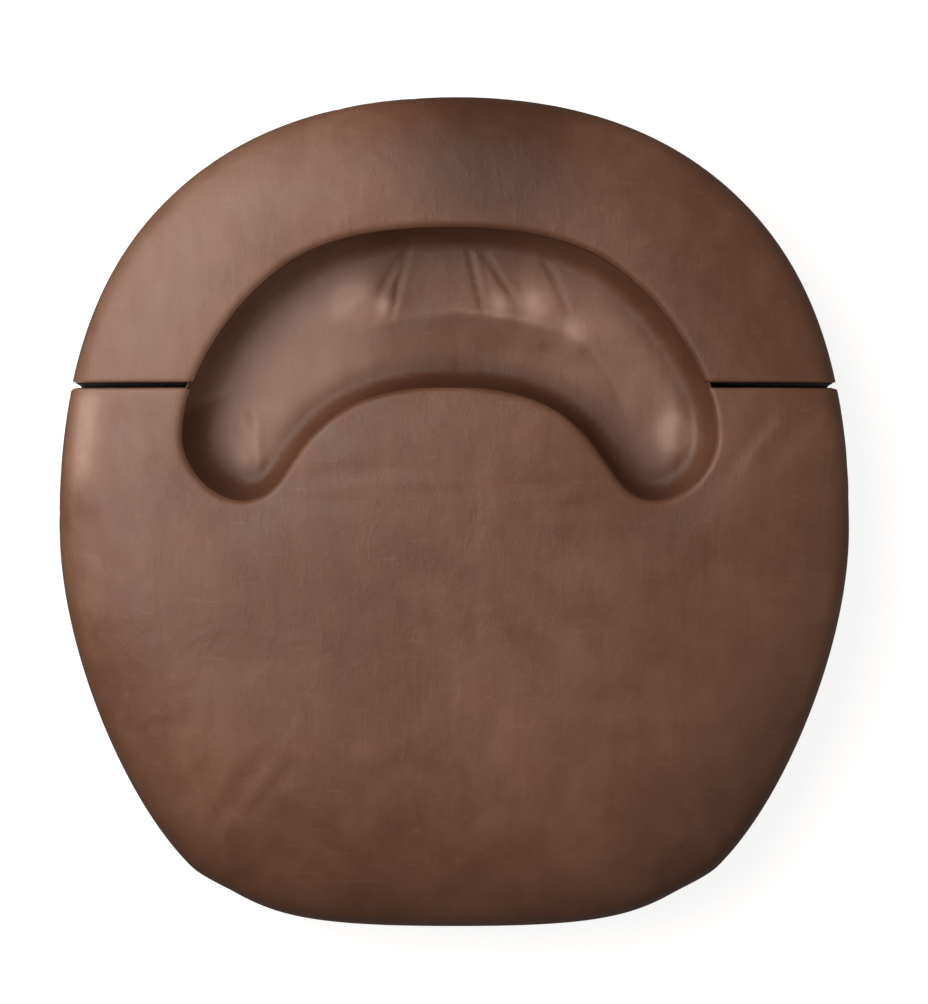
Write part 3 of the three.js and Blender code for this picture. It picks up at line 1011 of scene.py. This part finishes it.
slotOf = {part["node"]: part["material_slot"] for part in frame["record"]["subparts"]}


def finishPiece(piece, slot, body):
    # a piece with no body is left unattached
    piece.data.materials.clear()
    piece.data.materials.append(finishes[slot])
    if body:
        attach(piece, body)
    return piece


for nodeName, node in nodes.items():  # the pieces that stay as they came
    node.data.materials.clear()
    node.data.materials.append(finishes[slotOf[nodeName]])
print("materials made")


bodyCover = buildCushion("bodyCover", bodyLoop, plan["slitLow"])
finishPiece(bodyCover, "cover_vinyl", bodySide)
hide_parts("body_cover")
headCover = buildCushion("headCover", headLoop, plan["slitHigh"])
finishPiece(headCover, "cover_vinyl", headSide)
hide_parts("head_cover")
print("covers made")

sections = (("body", bodyLoop, plan["slitLow"], bodySide), ("head", headLoop, plan["slitHigh"], headSide))
for prefix, loop, level, body in sections:
    soft = buildFoam(prefix + "ComfortFoam", loop, level)
    finishPiece(soft, "soft_foam", body)
    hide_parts(prefix + "_comfort_foam")
    firm = softenedCopy(prefix + "BaseFoam", prefix + "_base_foam", foam["eased"])
    finishPiece(firm, "firm_foam", body)
    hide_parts(prefix + "_base_foam")
print("foams made")

liner = buildLining()
finishPiece(liner, "lining_vinyl", None)
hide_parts("body_trough_lining", "head_trough_lining")
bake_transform(liner)
print("lining made")

gusset = {
    "clear": 2.4,      # between the trough's edge and the cloth
    "outer": 209.8,    # how far out it reaches
    "near": 69.35,     # the edge sewn to the body cover
    "far": 71.85,      # the edge sewn to the head cover
    "top": 60.0,
    "depth": 26.0,     # how deep the fold hangs
    "bend": 2.4,       # how square the fold is
    "wave": 0.8,
    "waves": 0.9,
    "skin": 0.2,
    "run": 0.053,      # length of the cloth down and up the fold, in metres
    "lean": 0.85,      # how closely the inner end follows the lining's wall
    "columns": 30,
    "rows": 40,
}


def wallReach(height):
    # how far in the lining's wall has come at this height
    c = lining
    share = np.clip((height - c["floor"]) / (c["top"] - c["floor"]), 0, 1)
    t = (1 - (1 - share) ** (1 / c["belly"])) ** (1 / c["bow"])
    return (c["wall"] + c["outside"]) * (1 - t)


def buildGusset(name, side):
    # black cloth that hangs between the covers in one narrow fold and opens out as the sections part
    # its black also stands in for the shade deep in the slits
    c = gusset
    columns, rows = c["columns"], c["rows"]
    inner = xAt(trough, plan["slitLow"], side) + c["clear"]
    grids = np.meshgrid(np.linspace(0, 1, rows + 1), np.linspace(0, 1, columns + 1))
    t, along = (grid.ravel() for grid in grids)
    hang = 1 - np.abs(2 * t - 1) ** c["bend"]
    reach = c["lean"] * wallReach(c["top"] - c["depth"] * hang)
    width = c["outer"] - inner + reach
    along = c["outer"] - width * (1 - along)
    y = c["near"] + (c["far"] - c["near"]) * t
    z = c["top"] - (c["depth"] + c["wave"] * np.sin(along * c["waves"])) * hang
    faces = []
    for i in range(columns):
        for j in range(rows):
            corner = i * (rows + 1) + j
            faces.append((corner, corner + rows + 1, corner + rows + 2, corner + 1)[::side])
    piece = makeObject(name, np.column_stack([side * along, y, z]), faces)
    thicken(piece, c["skin"], 0)
    return piece, (width.max() * mm, c["run"]), width.mean() * mm * c["run"]


for word, side in (("left", -1), ("right", 1)):
    cloth, cut, area = buildGusset("slitGusset" + word.capitalize(), side)
    finishPiece(cloth, "dust_cloth", None)
    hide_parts("slit_gusset_" + word)
    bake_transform(cloth)
print("gussets made")

tape = {
    "corner": 2.0,     # rounding of the tape's corners
    "selvedge": 1.6,   # plain woven border round the hooks
    "ledge": 0.3,      # width of the step down to the hooks
    "recess": 0.35,    # and its height
    "eased": 0.25,
}


def buildTape(name, nodeName):
    # a woven tape with rounded corners and a raised border round the field of hooks
    low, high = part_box(nodeName)
    low, high = Vector(low), Vector(high)
    bpy.ops.object.select_all(action="DESELECT")
    bpy.ops.mesh.primitive_cube_add(size=1, location=(low + high) / 2)
    piece = bpy.context.active_object
    piece.name = name
    piece.data.name = name
    piece.scale = high - low
    bpy.ops.object.transform_apply(location=True, rotation=True, scale=True)
    corners = [vertex.co.z for vertex in piece.data.vertices]
    upright = [abs(corners[e.vertices[0]] - corners[e.vertices[1]]) > 0.5 * mm for e in piece.data.edges]
    selectOnly(piece, "EDGE", upright)
    bpy.ops.mesh.bevel(offset=tape["corner"] * mm, segments=4)
    bpy.ops.object.mode_set(mode="OBJECT")
    selectOnly(piece, "FACE", [p.normal.z < -0.9 for p in piece.data.polygons])
    bpy.ops.mesh.inset(thickness=tape["selvedge"] * mm)
    bpy.ops.mesh.inset(thickness=tape["ledge"] * mm, depth=-tape["recess"] * mm)
    bpy.ops.object.mode_set(mode="OBJECT")
    ease(piece, tape["eased"], 35)
    return piece


for nodeName in [n for n in nodes if "hook_strip" in n]:
    words = nodeName.split("_")
    strip = buildTape(words[0] + "".join(w.capitalize() for w in words[1:]), nodeName)
    finishPiece(strip, "hook_strip", headSide if words[0] == "head" else bodySide)
    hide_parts(nodeName)
print("tapes made")

staples = {
    "inset": 17.0,     # from the edge of the section
    "pitch": 26.0,
    "crown": 10.0,     # length of the bar
    "wire": 0.6,       # its thickness; it is twice as wide
    "eased": 0.22,
    "level": 2.0,
    "clear": 6.0,      # kept free round the tapes
    "sharpest": 50,    # degrees of turn past which a staple is left out
}


def buildStaples(name, loop, body):
    # the crowns of flat staples round the edge of a section; their legs are hidden in the board
    c = staples
    path = evenly(softened(loop + loopNormals(loop) * c["inset"], 8), c["pitch"])
    path = path[awayFrom(path, loop) > c["inset"] * 0.9]
    run = np.roll(path, -1, 0) - np.roll(path, 1, 0)
    tapes = [[Vector(corner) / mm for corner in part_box(n)] for n in nodes if "hook_strip" in n]
    headings = np.arctan2(run[:, 1], run[:, 0])
    bends = np.abs((headings - np.roll(headings, 1) + math.pi) % (2 * math.pi) - math.pi)
    bends = np.maximum(bends, np.roll(bends, -1))
    clear = c["clear"]
    bpy.ops.object.select_all(action="DESELECT")
    bars = []
    for (x, y), turn, bend in zip(path, headings, bends):
        near = any(a.x - clear < x < b.x + clear and a.y - clear < y < b.y + clear for a, b in tapes)
        if near or bend > math.radians(c["sharpest"]):
            continue
        spot = (x * mm, y * mm, c["level"] * mm)
        bpy.ops.mesh.primitive_cube_add(size=1, location=spot, rotation=(0, 0, turn))
        bar = bpy.context.active_object
        bar.scale = (c["crown"] * mm, c["wire"] * 2 * mm, c["wire"] * mm)
        bars.append(bar)
    for bar in bars:
        bar.select_set(True)
    bpy.context.view_layer.objects.active = bars[0]
    bpy.ops.object.join()
    piece = bpy.context.active_object
    piece.name = name
    piece.data.name = name
    bpy.ops.object.transform_apply(location=True, rotation=True, scale=True)
    ease(piece, c["eased"], 35)
    return finishPiece(piece, "zinc_steel", body)


buildStaples("bodyStaples", bodyLoop, bodySide)
buildStaples("headStaples", headLoop, headSide)
print("staples made")


# floor, light and camera

stage = {
    "floorSize": 12,
    "floorGrey": 0.35,
    "floorGlow": 0.85,
    "lampColour": (1.0, 0.925, 0.87),
    "worldColour": (1.0, 0.93, 0.88),
    "worldStrength": 0.22,
    "aim": (0, 0, 0.05),
}


def buildStage():
    bpy.ops.object.select_all(action="DESELECT")
    bpy.ops.mesh.primitive_plane_add(size=stage["floorSize"], location=(0, 0, 0))
    floor = bpy.context.active_object
    floor.name = "floor"
    material, tree, shader = newMaterial("paleFloor")
    shader.inputs["Base Color"].default_value = (*[stage["floorGrey"]] * 3, 1)
    shader.inputs["Roughness"].default_value = 0.9
    shader.inputs["Emission Color"].default_value = (1, 1, 1, 1)
    shader.inputs["Emission Strength"].default_value = stage["floorGlow"]
    floor.data.materials.append(material)
    # the floor is seen and takes shadows, but throws no light up at the cushion's edges
    floor.visible_diffuse = False
    floor.visible_glossy = False


# each lamp's place, its width in metres and its power
lights = {
    "key": ((-0.56, 0.31, 0.92), 1.25, 13.7),
    "fill": ((0.9, -0.5, 1.3), 1.2, 1.0),
}


def buildLights():
    for name, (spot, size, power) in lights.items():
        data = bpy.data.lights.new(name, "AREA")
        data.shape = "DISK"
        data.size = size
        data.energy = power
        data.color = stage["lampColour"]
        lamp = bpy.data.objects.new(name, data)
        lamp.location = spot
        aim = Vector(stage["aim"]) - Vector(spot)
        lamp.rotation_mode = "QUATERNION"
        lamp.rotation_quaternion = aim.to_track_quat("-Z", "Y")
        bpy.context.scene.collection.objects.link(lamp)
    world = bpy.data.worlds.new("world")
    bpy.context.scene.world = world
    world.use_nodes = True
    back = world.node_tree.nodes["Background"]
    back.inputs["Color"].default_value = (*stage["worldColour"], 1)
    back.inputs["Strength"].default_value = stage["worldStrength"]


camera = {
    "lens": 120.0,
    "sensor": 36.0,
    "frameHeight": 0.5606,   # what the view spans at the cushion's widest level
    "level": 0.048,
    "centre": (0.0054, 0.0061),
}


def buildCamera():
    data = bpy.data.cameras.new("camera")
    data.lens = camera["lens"]
    data.sensor_width = camera["sensor"]
    data.clip_start = 0.05
    data.clip_end = 50
    eye = bpy.data.objects.new("camera", data)
    away = camera["frameHeight"] * camera["lens"] / camera["sensor"]
    eye.location = (*camera["centre"], camera["level"] + away)
    bpy.context.scene.collection.objects.link(eye)
    bpy.context.scene.camera = eye


buildStage()
buildLights()
buildCamera()
bpy.context.scene.view_settings.view_transform = "Standard"
print("stage made")
